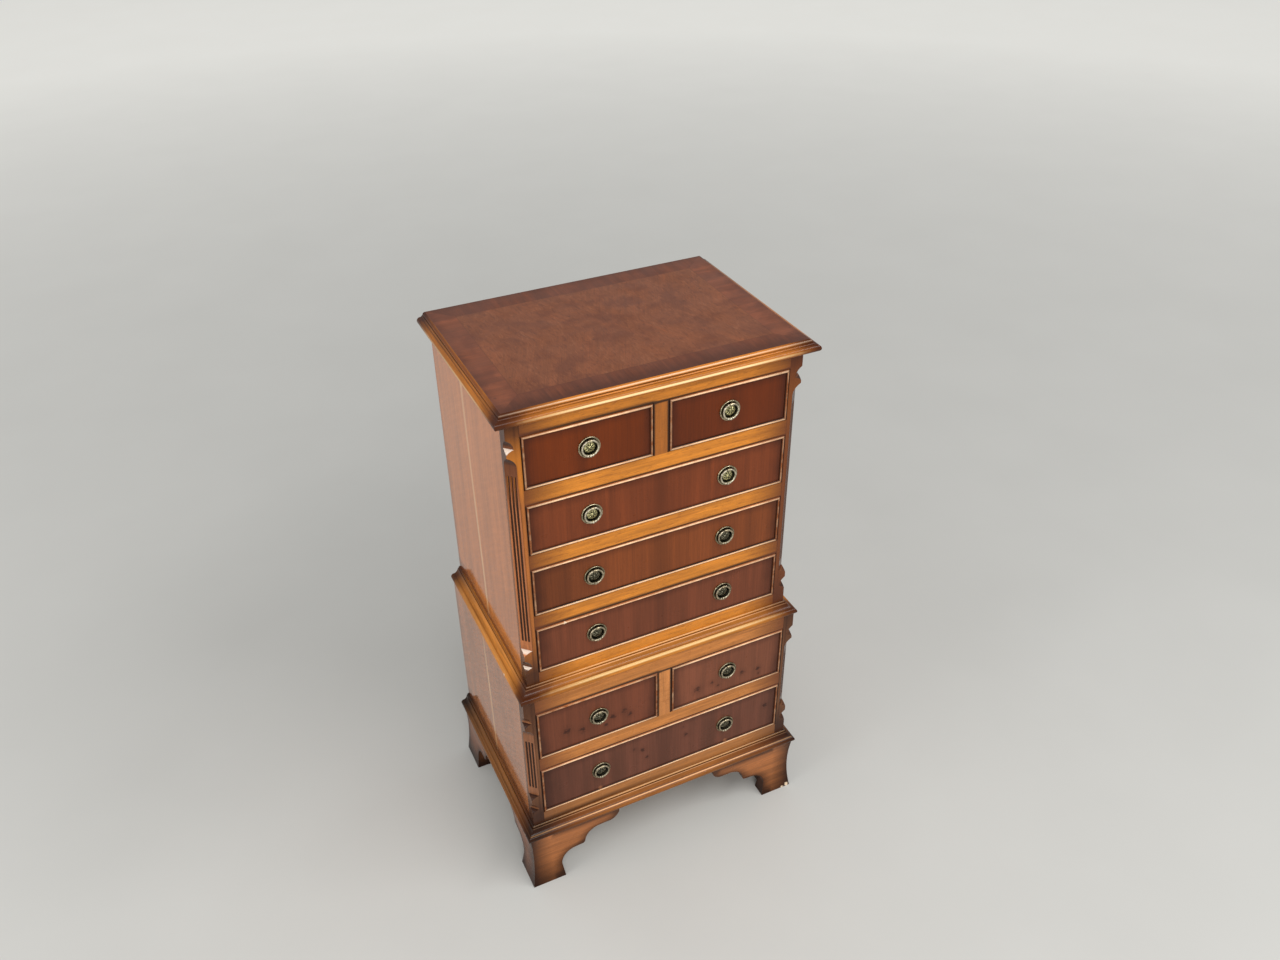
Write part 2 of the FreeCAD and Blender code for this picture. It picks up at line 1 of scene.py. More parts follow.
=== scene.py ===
"""Looks of a small two-part chest on chest in stained and polished wood, with brass ring handles."""
import math
from types import SimpleNamespace

import bpy
import numpy as np
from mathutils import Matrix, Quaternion, Vector


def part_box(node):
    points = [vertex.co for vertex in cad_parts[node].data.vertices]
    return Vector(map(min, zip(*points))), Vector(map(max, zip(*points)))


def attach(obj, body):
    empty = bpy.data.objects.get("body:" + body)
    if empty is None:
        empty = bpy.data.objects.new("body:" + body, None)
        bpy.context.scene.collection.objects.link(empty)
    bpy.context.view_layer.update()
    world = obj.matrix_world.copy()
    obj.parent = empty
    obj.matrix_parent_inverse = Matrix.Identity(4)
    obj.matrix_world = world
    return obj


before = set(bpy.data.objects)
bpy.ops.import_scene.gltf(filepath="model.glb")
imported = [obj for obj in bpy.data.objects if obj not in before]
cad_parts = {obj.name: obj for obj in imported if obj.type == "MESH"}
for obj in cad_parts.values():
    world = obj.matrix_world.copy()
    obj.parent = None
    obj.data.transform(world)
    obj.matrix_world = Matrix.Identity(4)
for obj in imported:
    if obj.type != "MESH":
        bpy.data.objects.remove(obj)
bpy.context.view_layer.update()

MM = 0.001
# Sizes of the CAD model that the looks follow
BEAD_WIDTH = 4.5 * MM
FIELD_RECESS = 2.5 * MM
PLATE_RADIUS = 16.3 * MM
CANT_LEG = 13 * MM
# About where the feet end at the floor, at the side and in front
FOOT_SIDE = 252 * MM
FOOT_FRONT = -173.5 * MM
# Border round the top's veneer, and the tarnished ground of a ring plate
BORDER = 36 * MM
GROUND_RADIUS = 14 * MM

SHORT_DRAWERS = ("upper_left", "upper_right", "lower_left", "lower_right")
LONG_DRAWERS = ("upper_second", "upper_third", "upper_fourth", "lower_second")
DRAWERS = SHORT_DRAWERS + LONG_DRAWERS
# Axes that grain runs along
ACROSS, DEEP, UP = 0, 1, 2

# Dark tones: the black, brown, field and post ones are used both for stain and for painted shade
BLACK_STAIN_AND_SHADE = "#1a0b05"
BROWN_STAIN_AND_SHADE = "#3f1c0c"
RED_STAIN = "#5a290e"
FIELD_STAIN_AND_SHADE = "#2c1108"
POST_STAIN_AND_SHADE = "#33180d"
RAIL_TONES = {"upper": "#c67a28", "lower": "#b87438"}
DIVIDER_TONES = {"upper": "#9f5d22", "lower": "#bb7840"}
SIDE_TONES = {"upper": "#bd7340", "lower": "#a66a44"}
POST_TONES = {"upper": "#a15f2b", "lower": "#6c4429"}
CANT_TONES = {"upper": "#dd8a55", "lower": "#b97b54"}
FIELD_TONES = {
    "upper_left": "#652a09",
    "upper_right": "#5e270b",
    "upper_second": "#70361b",
    "upper_third": "#773d1d",
    "upper_fourth": "#6e3a24",
    "lower_left": "#6a3925",
    "lower_right": "#74432e",
    "lower_second": "#643a2a",
}
# How bright the painted highlight on the top bead is on drawers where it is dimmer, with wider painted shade
# on the rail over it
CREST_HIGHLIGHT = {"upper_left": 0.85, "upper_fourth": 0.7, "lower_left": 0.38}
USUAL_HIGHLIGHT = 0.9
# Dark pips in the veneer: place across, height and radius in mm
KNOTS = {
    "lower_left": (
        (-170, 325, 4),
        (-144, 317, 4),
        (-91, 322, 3),
        (-72, 326, 3),
        (-61, 315, 3),
        (-103, 308, 2),
    ),
    "lower_right": (
        (61, 314, 4),
        (88, 318, 3),
        (100, 307, 2),
        (145, 318, 3),
        (176, 313, 3),
        (177, 301, 2),
    ),
    "lower_second": (
        (-40, 220, 3),
        (-55, 227, 2),
        (41, 218, 3),
        (36, 238, 2),
        (195, 218, 3),
        (-32, 198, 2),
    ),
}
# Knocks on the drawers' beads: place and radius in mm
BEAD_KNOCKS = {
    "upper_third": [((-146, -146, 567), 2.6), ((-142, -146, 567), 2.8), ((-138, -146, 567), 2.8)],
    "upper_fourth": [((-158, -146, 535), 3.6)],
}


# Nodes and colours
def linear(tone):
    """sRGB hex to linear colour."""
    parts = np.array([int(tone[at : at + 2], 16) for at in (1, 3, 5)]) / 255
    parts = np.where(parts <= 0.04045, parts / 12.92, ((parts + 0.055) / 1.055) ** 2.4)
    return (*parts.tolist(), 1.0)


def shaded(tone, share):
    """The same hue, darker or lighter by a share."""
    parts = [min(255, round(int(tone[at : at + 2], 16) * share)) for at in (1, 3, 5)]
    return "#" + "".join(f"{part:02x}" for part in parts)


def put(tree, kind, sockets=(), stops=(), **settings):
    """Adds one node. A socket takes a number, a hex tone, or the node or output that is linked to it."""
    node = tree.nodes.new("ShaderNode" + kind)
    for name, value in settings.items():
        setattr(node, name, value)
    if stops:
        elements = node.color_ramp.elements
        while len(elements) < len(stops):
            elements.new(0.5)
        for stop, (place, tone) in zip(elements, stops):
            stop.position = place
            stop.color = linear(tone)
    for name, value in dict(sockets).items():
        enabled = [(place, socket) for place, socket in enumerate(node.inputs) if socket.enabled]
        named = next(socket for place, socket in enabled if name in (place, socket.name))
        if isinstance(value, bpy.types.Node):
            value = next(socket for socket in value.outputs if socket.enabled)
        if isinstance(value, bpy.types.NodeSocket):
            tree.links.new(value, named)
        else:
            named.default_value = linear(value) if isinstance(value, str) else value
    return node


def maths(tree, operation, *values):
    """One sum on numbers and nodes."""
    return put(tree, "Math", dict(enumerate(values)), operation=operation)


def ramp(tree, value, start, end, low=0.0, high=1.0):
    """Runs evenly from low, where the value is at start, to high, where it is at end."""
    places = {"Value": value, "From Min": start, "From Max": end, "To Min": low, "To Max": high}
    return put(tree, "MapRange", places)


def blend(tree, share, first, second):
    """Two colours mixed, with this share of the second."""
    return put(tree, "Mix", {"Factor": share, "A": first, "B": second}, data_type="RGBA")


def gap(tree, point, place):
    """Distance of a point from a place."""
    return put(tree, "VectorMath", {0: point, 1: place}, operation="DISTANCE").outputs["Value"]


def begin(name):
    """A new material with the point on the piece, in metres, split into its three distances."""
    material = bpy.data.materials.new(name)
    material.use_nodes = True
    tree = material.node_tree
    point = put(tree, "TexCoord").outputs["Object"]
    x, y, z = put(tree, "SeparateXYZ", {"Vector": point}).outputs
    return SimpleNamespace(material=material, tree=tree, point=point, x=x, y=y, z=z)


def away(tree, value, place):
    """Distance of a value from a place, on either side."""
    off = maths(tree, "SUBTRACT", value, place)
    return maths(tree, "ABSOLUTE", off)


def stain(tree, colour, value, full, none, strength, tone):
    """Lays a tone over a colour: at its strength where the value is at full, fading to nothing at none.

    A mask of 0 or 1 added to a value in metres, or taken from it, puts the masked places out of reach."""
    amount = ramp(tree, value, full, none, strength, 0.0)
    return blend(tree, amount, colour, tone)


def streaks(tree, point, along, width, length, seed, detail=2.0, bend=0.0):
    """Noise drawn out along the grain: width mm across it and length mm along it."""
    scale = [1 / (width * MM)] * 3
    scale[along] = 1 / (length * MM)
    shift = (seed * 3.7, seed * 1.9, seed * 2.3)
    moved = put(tree, "Mapping", {"Vector": point, "Location": shift, "Scale": scale})
    return put(tree, "TexNoise", {"Vector": moved, "Scale": 1.0, "Detail": detail, "Distortion": bend})


def timber(tree, point, along, tone, seed, band=16, fibre=1.1, spread=0.13):
    """Broad colour bands, fine fibres and short dark pores along the grain; gives colour and relief.

    Real fibres and pores are 0.1 to 0.3 mm wide, drawn about four times coarser so that they show."""
    bands = streaks(tree, point, along, band, band * 12, seed, 2.0, 0.5)
    fibres = streaks(tree, point, along, fibre, fibre * 60, seed + 1, 3.0)
    pores = streaks(tree, point, along, 0.8, 11, seed + 2, 1.0)
    grain = put(tree, "Mix", {"Factor": 0.42, "A": bands, "B": fibres})
    dark = shaded(tone, 1 - spread)
    light = shaded(tone, 1 + spread)
    colour = put(tree, "ValToRGB", {"Fac": grain}, stops=((0.34, dark), (0.5, tone), (0.66, light)))
    pits = ramp(tree, pores, 0.6, 0.76, high=0.5)
    deep = shaded(tone, 1 - 2 * spread)
    colour = blend(tree, pits, colour, deep)
    relief = maths(tree, "SUBTRACT", fibres, pits)
    return colour, relief


def polish(look, colour, relief, sheen=(0.26, 0.4), gloss=0.25, depth=0.05):
    """Hand polish over wood: a soft gloss, uneven from handling, with the grain just showing in it."""
    tree = look.tree
    shader = tree.nodes["Principled BSDF"]
    smudge = put(tree, "TexNoise", {"Vector": look.point, "Scale": 1 / (45 * MM), "Detail": 3.0})
    rough = ramp(tree, smudge, 0.3, 0.7, *sheen)
    bump = put(tree, "Bump", {"Height": relief, "Strength": 0.5, "Distance": depth * MM})
    tree.links.new(colour.outputs[2], shader.inputs["Base Color"])
    tree.links.new(rough.outputs[0], shader.inputs["Roughness"])
    tree.links.new(bump.outputs[0], shader.inputs["Normal"])
    shader.inputs["IOR"].default_value = 1.5
    shader.inputs["Specular IOR Level"].default_value = gloss
    return look.material


def chips(look, colour, spots, bare="#f0d6b6"):
    """Small knocks: within a few mm of each spot the polish is broken to bare wood, with a ragged edge."""
    tree = look.tree
    ragged = put(tree, "TexNoise", {"Vector": look.point, "Scale": 1 / (2.2 * MM), "Detail": 3.0})
    for place, radius in spots:
        far = gap(tree, look.point, [distance * MM for distance in place])
        far = maths(tree, "MULTIPLY_ADD", ragged, radius * 1.1 * MM, far)
        colour = stain(tree, colour, far, radius * 1.2 * MM, radius * 1.5 * MM, 1.0, bare)
    return colour


def knots(look, colour, places):
    """Dark pips in the veneer: a ragged blot a few mm across at each place, with a haze round it."""
    tree = look.tree
    flat = put(tree, "CombineXYZ", {"X": look.x, "Z": look.z})
    ragged = streaks(tree, look.point, ACROSS, 4, 6, 27, 2.0)
    for x, z, radius in places:
        far = gap(tree, flat, (x * MM, 0, z * MM))
        colour = stain(tree, colour, far, 0.0, 4 * radius * MM, 0.3, "#3a1a10")
        far = maths(tree, "MULTIPLY_ADD", ragged, 5 * radius * MM, far)
        colour = stain(tree, colour, far, 3 * radius * MM, 4 * radius * MM, 0.75, "#2f140c")
    return colour


# Veneers
def top_veneer():
    """Quartered field inside a cross-banded border, stained dark brown and dull from use.

    The field is one pattern mirrored about both centre lines, as four matched leaves are."""
    look = begin("stained_veneer_quartered_top")
    tree = look.tree
    low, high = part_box("top_board")
    side = maths(tree, "ABSOLUTE", look.x)
    back = away(tree, look.y, (low.y + high.y) / 2)
    to_side = maths(tree, "SUBTRACT", high.x, side)
    to_back = maths(tree, "SUBTRACT", (high.y - low.y) / 2, back)
    edge = maths(tree, "MINIMUM", to_side, to_back)
    leaf = put(tree, "CombineXYZ", {"X": side, "Y": back, "Z": look.z})
    turned = put(tree, "Mapping", {"Vector": leaf, "Rotation": (0, 0, math.radians(24))})
    field, field_relief = timber(tree, turned, DEEP, "#80482a", 1, 26, 1.5, 0.1)
    flecks = streaks(tree, look.point, DEEP, 3.2, 15, 6, 3.0, 1.2)
    field = stain(tree, field, flecks, 0.34, 0.45, 0.4, "#54291a")
    field = stain(tree, field, flecks, 0.68, 0.56, 0.35, "#9c6343")
    sides, sides_relief = timber(tree, look.point, ACROSS, "#7e452b", 2, 12, 1.1, 0.12)
    fronts, _ = timber(tree, look.point, DEEP, "#6c3922", 3, 12, 1.1, 0.16)
    on_side = maths(tree, "LESS_THAN", to_side, to_back)
    border = blend(tree, on_side, fronts, sides)
    inside = ramp(tree, edge, BORDER - 0.4 * MM, BORDER + 0.2 * MM)
    colour = blend(tree, inside, border, field)
    off_line = away(tree, edge, BORDER)
    colour = stain(tree, colour, off_line, 0.3 * MM, 0.8 * MM, 0.35, "#3a1d14")
    mottle = put(tree, "TexNoise", {"Vector": look.point, "Scale": 1 / (30 * MM), "Detail": 6.0})
    colour = stain(tree, colour, mottle, 0.36, 0.54, 0.5, "#5d2f1d")
    fingers = streaks(tree, look.point, DEEP, 6, 60, 8, 2.0)
    to_front = maths(tree, "SUBTRACT", look.y, low.y)
    to_front = maths(tree, "MULTIPLY_ADD", fingers, -34 * MM, to_front)
    colour = stain(tree, colour, to_front, -6 * MM, 14 * MM, 0.6, "#451e0c")
    colour = stain(tree, colour, edge, 0.0, 14 * MM, 0.3, "#351a10")
    pips = put(tree, "TexVoronoi", {"Vector": look.point, "Scale": 1 / (26 * MM), "Randomness": 1.0})
    colour = stain(tree, colour, pips, 0.03, 0.1, 0.5, "#3d2016")
    relief = put(tree, "Mix", {"Factor": inside, "A": sides_relief, "B": field_relief})
    return polish(look, colour, relief, (0.3, 0.46), 0.3)


def side_veneer(name, case, seed, streaked):
    """Orange-brown veneer with upright grain; its bright polish mirrors the pale room at a slant.

    The leaves are faintly rippled, the lower ones more: soft bars about 5 mm apart slant across the grain.
    The left sides have a thin pale streak of sapwood, which leans back a little. A dark band at the foot of
    each board above the moulding is painted shade and painted reflection of the moulding; the back edge is
    dimmed, and the lower boards are golden at the head."""
    look = begin(name)
    tree = look.tree
    low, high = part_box(case + "_side_left")
    tone = SIDE_TONES[case]
    colour, relief = timber(tree, look.point, UP, tone, seed, 20, 1.1, 0.1)
    slant = put(tree, "Mapping", {"Vector": look.point, "Rotation": (math.radians(37), 0, 0)})
    bars = streaks(tree, slant, DEEP, 4.5, 46, seed + 5, 1.0, 0.3)
    dark_bars, pale_bars = (0.24, 0.12) if case == "lower" else (0.08, 0.08)
    colour = stain(tree, colour, bars, 0.32, 0.48, dark_bars, shaded(tone, 0.7))
    colour = stain(tree, colour, bars, 0.7, 0.52, pale_bars, shaded(tone, 1.3))
    if streaked:
        wander = streaks(tree, look.point, UP, 30, 160, seed + 7, 2.0)
        lean = maths(tree, "MULTIPLY_ADD", look.z, 0.03, 9 * MM)
        lean = maths(tree, "MULTIPLY_ADD", wander, 6 * MM, lean)
        fading = ramp(tree, wander, 0.3, 0.7, 0.75, 0.4)
        colour = stain(tree, colour, away(tree, look.y, lean), 1.6 * MM, 6.5 * MM, fading, "#e6b888")
    if case == "lower":
        colour = stain(tree, colour, look.z, high.z - 10 * MM, high.z - 24 * MM, 0.6, "#b8701f")
    # Painted shade and painted reflection of the moulding: a dark band at the foot of the board
    foot_shade_and_reflection_tone = "#48200b" if case == "lower" else "#5a260c"
    colour = stain(tree, colour, look.z, low.z + 30 * MM, low.z + 52 * MM, 0.85, foot_shade_and_reflection_tone)
    colour = stain(tree, colour, look.y, high.y, high.y - 14 * MM, 0.45, "#6a4028")
    return polish(look, colour, relief, (0.03, 0.07), 0.5)


def drawer_veneer(drawer, seed):
    """Dark red-brown veneer with fine upright grain, darker at its ends, inside a thin rounded bead.

    Two leaves are matched like an open book, about a darker middle on long drawers and between the two short
    ones. Drawers at one height share their grain. The lower case shows clusters of dark pips, and its long
    drawer two pale drips under the rings. Stain and painted shade darken the ends of the field, and painted
    shade darkens it under the top edge and along the top and bottom beads. Painted shade makes a black line
    between the bead and the veneer and outside the upright beads, and a painted highlight lies along the
    bead's crest in patches, brightest on the level lengths. Behind the bead the edges of the front are plain
    wood."""
    look = begin("polished_veneer_drawer_" + drawer)
    tree = look.tree
    low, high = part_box("drawer_front_" + drawer)
    half = (high - low) / 2
    centre = (high + low) / 2
    to_end = maths(tree, "SUBTRACT", half.x, away(tree, look.x, centre.x))
    to_top = maths(tree, "SUBTRACT", half.z, away(tree, look.z, centre.z))
    edge = maths(tree, "MINIMUM", to_end, to_top)
    folded = maths(tree, "ABSOLUTE", look.x)
    leaf = put(tree, "CombineXYZ", {"X": folded, "Y": look.y, "Z": look.z})
    row_seed = 90 + round(low.z * 50)
    field, relief = timber(tree, leaf, UP, FIELD_TONES[drawer], row_seed, 22, 2.0, 0.11)
    if drawer in LONG_DRAWERS:
        field = stain(tree, field, folded, 4 * MM, 22 * MM, 0.35, shaded(FIELD_TONES[drawer], 0.55))
    field = knots(look, field, KNOTS.get(drawer, ()))
    cloud = put(tree, "TexNoise", {"Vector": leaf, "Scale": 1 / (40 * MM), "Detail": 2.0})
    # Stain and painted shade darken the ends of the field
    to_corner = maths(tree, "MULTIPLY_ADD", cloud, -14 * MM, to_end)
    field = stain(tree, field, to_corner, -3 * MM, 16 * MM, 0.7, FIELD_STAIN_AND_SHADE)
    # Painted shade under the top edge, and along the top and bottom beads
    drop = maths(tree, "SUBTRACT", high.z, look.z)
    drop = maths(tree, "MULTIPLY_ADD", cloud, -10 * MM, drop)
    field = stain(tree, field, drop, 0.0, 13 * MM, 0.45, FIELD_STAIN_AND_SHADE)
    field = stain(tree, field, to_top, BEAD_WIDTH, 8 * MM, 0.42, FIELD_STAIN_AND_SHADE)
    if drawer in ("upper_third", "lower_second"):
        field = stain(tree, field, look.x, low.x + 10 * MM, low.x + 110 * MM, 0.4, FIELD_STAIN_AND_SHADE)
    bead, _ = timber(tree, look.point, ACROSS, "#a05a2a", seed, 9)
    wear_and_highlight_noise = streaks(tree, look.point, ACROSS, 12, 70, seed + 1, 2.0)
    patches = streaks(tree, look.point, DEEP, 11, 30, seed + 3, 3.0)
    on_end = maths(tree, "LESS_THAN", to_end, to_top)
    on_low = maths(tree, "LESS_THAN", look.z, centre.z)
    # A painted highlight along the bead's crest, in patches, brightest on the level lengths
    crest = CREST_HIGHLIGHT.get(drawer, USUAL_HIGHLIGHT)
    level_highlight = ramp(tree, on_low, 0.0, 1.0, crest - 0.7, 0.35)
    level_highlight = maths(tree, "MULTIPLY_ADD", patches, 1.4, level_highlight)
    end_highlight = maths(tree, "MULTIPLY_ADD", patches, 2.0, -0.76)
    crest_highlight_strength = put(tree, "Mix", {"Factor": on_end, "A": level_highlight, "B": end_highlight})
    rubbed = maths(tree, "MULTIPLY_ADD", wear_and_highlight_noise, -1.2 * MM, away(tree, edge, 1.9 * MM))
    rubbed = maths(tree, "MULTIPLY_ADD", on_low, -0.35 * MM, rubbed)
    bead = stain(tree, bead, rubbed, 0.0, 0.9 * MM, crest_highlight_strength, "#ffd4a8")
    # Painted shade: a black line between the bead and the veneer, and one outside the upright beads
    bead = stain(tree, bead, edge, 4.0 * MM, 3.2 * MM, 1.0, BLACK_STAIN_AND_SHADE)
    outer = maths(tree, "SUBTRACT", edge, on_end)
    bead = stain(tree, bead, outer, 0.6 * MM - 1, 1.4 * MM - 1, 1.0, BLACK_STAIN_AND_SHADE)
    mitre = away(tree, to_end, to_top)
    bead = stain(tree, bead, mitre, 0.3 * MM, 0.6 * MM, 0.6, "#3b1d0f")
    bead = stain(tree, bead, to_end, BEAD_WIDTH, 50 * MM, 0.5, "#4a2412")
    inside = maths(tree, "GREATER_THAN", edge, BEAD_WIDTH)
    colour = blend(tree, inside, bead, field)
    if drawer in BEAD_KNOCKS:
        colour = chips(look, colour, BEAD_KNOCKS[drawer])
    if drawer == "lower_second":
        drip = put(tree, "CombineXYZ", {"X": folded, "Z": look.z})
        drip = gap(tree, drip, (118 * MM, 0, 168 * MM))
        colour = stain(tree, colour, drip, 1.5 * MM, 5 * MM, 0.4, "#b5774e")
    core, _ = timber(tree, look.point, ACROSS, "#8f623c", seed + 2, 12)
    colour = stain(tree, colour, look.y, low.y + 7 * MM, low.y + 6 * MM, 1.0, core)
    return polish(look, colour, relief, (0.26, 0.38), 0.18)


# Solid woods
def rail_wood(case):
    """Golden stained hardwood: level grain on the rails, upright grain on the divider between short drawers.

    Painted shade lies in a thin black line at the gap over each drawer, wider over those in CREST_HIGHLIGHT,
    and beside the divider. Dark stain fades in towards the posts. The bottom rail of the lower case is
    duller, and painted shade darkens it on the left above the moulding."""
    look = begin("stained_hardwood_rails_" + case)
    tree = look.tree
    low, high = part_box("drawer_front_" + case + "_left")
    side = maths(tree, "ABSOLUTE", look.x)
    level, relief = timber(tree, look.point, ACROSS, RAIL_TONES[case], 31, 9, 0.9, 0.12)
    upright, _ = timber(tree, look.point, UP, DIVIDER_TONES[case], 32, 9, 0.9, 0.12)
    beside = maths(tree, "LESS_THAN", side, -high.x)
    tall = maths(tree, "COMPARE", look.z, (low.z + high.z) / 2, (high.z - low.z) / 2 + MM)
    divider = maths(tree, "MULTIPLY", beside, tall)
    colour = blend(tree, divider, level, upright)
    flecks = streaks(tree, look.point, ACROSS, 2.2, 14, 35, 2.0)
    colour = stain(tree, colour, flecks, 0.72, 0.58, 0.5, "#8a4f1c")
    wear_and_highlight_noise = streaks(tree, look.point, ACROSS, 8, 90, 34, 3.0)
    colour = stain(tree, colour, wear_and_highlight_noise, 0.72, 0.54, 0.4, "#8f5320")
    # Distance to the gaps round the drawers and beside the divider, where a black line of painted shade is
    # laid
    to_bead = maths(tree, "SUBTRACT", -high.x - MM, side)
    near = maths(tree, "MULTIPLY_ADD", divider, -1.0, 1.0)
    near = maths(tree, "ADD", near, to_bead)
    for drawer in DRAWERS:
        if drawer.startswith(case) and not drawer.endswith("right"):
            low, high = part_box("drawer_front_" + drawer)
            line = away(tree, look.z, high.z + MM)
            if drawer in CREST_HIGHLIGHT:
                thinness = ramp(tree, look.x, high.x, high.x + 9 * MM, 0.5, 1.0)
                line = maths(tree, "MULTIPLY", line, thinness)
            near = maths(tree, "MINIMUM", near, line)
    colour = stain(tree, colour, near, 1.0 * MM, 3.0 * MM, 0.92, BLACK_STAIN_AND_SHADE)
    rail_end = high.x
    colour = stain(tree, colour, side, rail_end, rail_end - 62 * MM, 0.85, "#5c2b12")
    if case == "lower":
        colour = stain(tree, colour, look.z, 158 * MM, 166 * MM, 0.4, "#8a5f38")
        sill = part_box("base_moulding")[1].z
        # Painted shade on the bottom rail above the moulding, strongest on the left
        sill_shade = ramp(tree, look.x, -120 * MM, 40 * MM, 0.85, 0.2)
        colour = stain(tree, colour, look.z, sill + 4 * MM, sill + 11 * MM, sill_shade, "#3c1f0c")
    return polish(look, colour, relief, (0.2, 0.32), 0.28)


def post_wood(case):
    """Canted corner posts: brown on the face, veneered like the case on the side, red-brown on the cant.

    Painted shade blackens the flutes, which lie deeper than the cant, and a thin strip beside the drawers,
    and darkens the right-hand posts and the surfaces that face down; both ends are darker too. On the upper
    left post the carved ledges that face up carry a pale painted highlight, and the face beside the top one
    is rubbed golden. On the lower left post the ledges are dark."""
    look = begin("stained_hardwood_posts_" + case)
    tree = look.tree
    low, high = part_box(case + "_corner_posts")
    face, relief = timber(tree, look.point, UP, POST_TONES[case], 41, 10)
    cant, _ = timber(tree, look.point, UP, CANT_TONES[case], 43, 4)
    side, _ = timber(tree, look.point, UP, shaded(SIDE_TONES[case], 0.68), 42, 20, 1.1, 0.1)
    normal = put(tree, "NewGeometry").outputs["True Normal"]
    facing = put(tree, "SeparateXYZ", {"Vector": normal}).outputs
    sideways = maths(tree, "ABSOLUTE", facing[0])
    canted = ramp(tree, sideways, 0.25, 0.35)
    colour = blend(tree, canted, face, cant)
    outer = ramp(tree, sideways, 0.97, 0.99)
    colour = blend(tree, outer, colour, side)
    inward = maths(tree, "ABSOLUTE", look.x)
    inward = maths(tree, "SUBTRACT", high.x, inward)
    behind = maths(tree, "SUBTRACT", look.y, low.y)
    skin = maths(tree, "MINIMUM", inward, behind)
    off_cant_plane = maths(tree, "ADD", inward, behind)
    off_cant_plane = maths(tree, "SUBTRACT", off_cant_plane, CANT_LEG)
    in_flute = ramp(tree, skin, 0.5 * MM, 1.0 * MM)
    sunk = maths(tree, "MULTIPLY", off_cant_plane, in_flute)
    # Painted shade blackens the flutes
    colour = stain(tree, colour, sunk, 0.9 * MM, 0.35 * MM, 0.96, "#1c0a04")
    arris = away(tree, off_cant_plane, 0.0)
    colour = stain(tree, colour, arris, 0.6 * MM, 2.2 * MM, 0.5, BROWN_STAIN_AND_SHADE)
    drawer_end = -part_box(f"drawer_front_{case}_second")[0].x
    beside = maths(tree, "SUBTRACT", high.x - drawer_end, inward)
    # A thin black strip of painted shade on the post beside the drawers
    colour = stain(tree, colour, beside, 1.2 * MM, 2.8 * MM, 0.8, BLACK_STAIN_AND_SHADE)
    to_foot = maths(tree, "SUBTRACT", look.z, low.z + 23 * MM)
    to_foot = maths(tree, "MULTIPLY_ADD", outer, 4 * MM, to_foot)
    colour = stain(tree, colour, to_foot, 22 * MM, 76 * MM, 0.88, POST_STAIN_AND_SHADE)
    to_head = maths(tree, "SUBTRACT", high.z, look.z)
    to_head = maths(tree, "MULTIPLY_ADD", outer, 24 * MM, to_head)
    colour = stain(tree, colour, to_head, 4 * MM, 105 * MM, 0.88 if case == "upper" else 0.75, "#3a1a08")
    rightward = maths(tree, "GREATER_THAN", look.x, 0.0)
    off_cant = maths(tree, "SUBTRACT", 1.0, canted)
    if case == "upper":
        rub = maths(tree, "ADD", canted, away(tree, look.z, high.z - 78 * MM))
        colour = stain(tree, colour, rub, 20 * MM, 56 * MM, 0.55, "#c87822")
        # Painted shade dims the face of the right-hand upper post
        shaded_right_face = maths(tree, "MULTIPLY", rightward, off_cant)
        colour = stain(tree, colour, shaded_right_face, 1.0, 0.0, 0.8, "#5a2c16")
        cant_head = maths(tree, "ADD", off_cant, to_head)
        colour = stain(tree, colour, cant_head, 85 * MM, 150 * MM, 0.65, "#3f1a0c")
        cant_foot = maths(tree, "ADD", off_cant, to_foot)
        colour = stain(tree, colour, cant_foot, 44 * MM, 60 * MM, 0.7, POST_STAIN_AND_SHADE)
    # Painted shade on the cant of the right-hand posts
    shady = maths(tree, "MULTIPLY", rightward, canted)
    colour = stain(tree, colour, shady, 1.0, 0.0, 0.85, POST_STAIN_AND_SHADE)
    # Painted shade on the surfaces that face down
    colour = stain(tree, colour, facing[2], -0.35, -0.08, 0.85, "#2c140b")
    flute_foot = maths(tree, "COMPARE", look.z, low.z + 115 * MM, 12 * MM)
    ledge = maths(tree, "SUBTRACT", facing[2], flute_foot)
    ledge = maths(tree, "SUBTRACT", ledge, rightward)
    if case == "upper":
        ledge_highlight_bias = ramp(tree, look.z, low.z + 100 * MM, high.z - 100 * MM, -0.08, 0.16)
        ledge = maths(tree, "ADD", ledge, ledge_highlight_bias)
        # A pale painted highlight on the up-facing ledges of the upper left post
        colour = stain(tree, colour, ledge, 0.72, 0.62, 0.92, "#ecd8c6")
    else:
        colour = stain(tree, colour, ledge, 0.1, 0.01, 0.95, "#2f170d")
    return polish(look, colour, relief, (0.2, 0.32), 0.22)


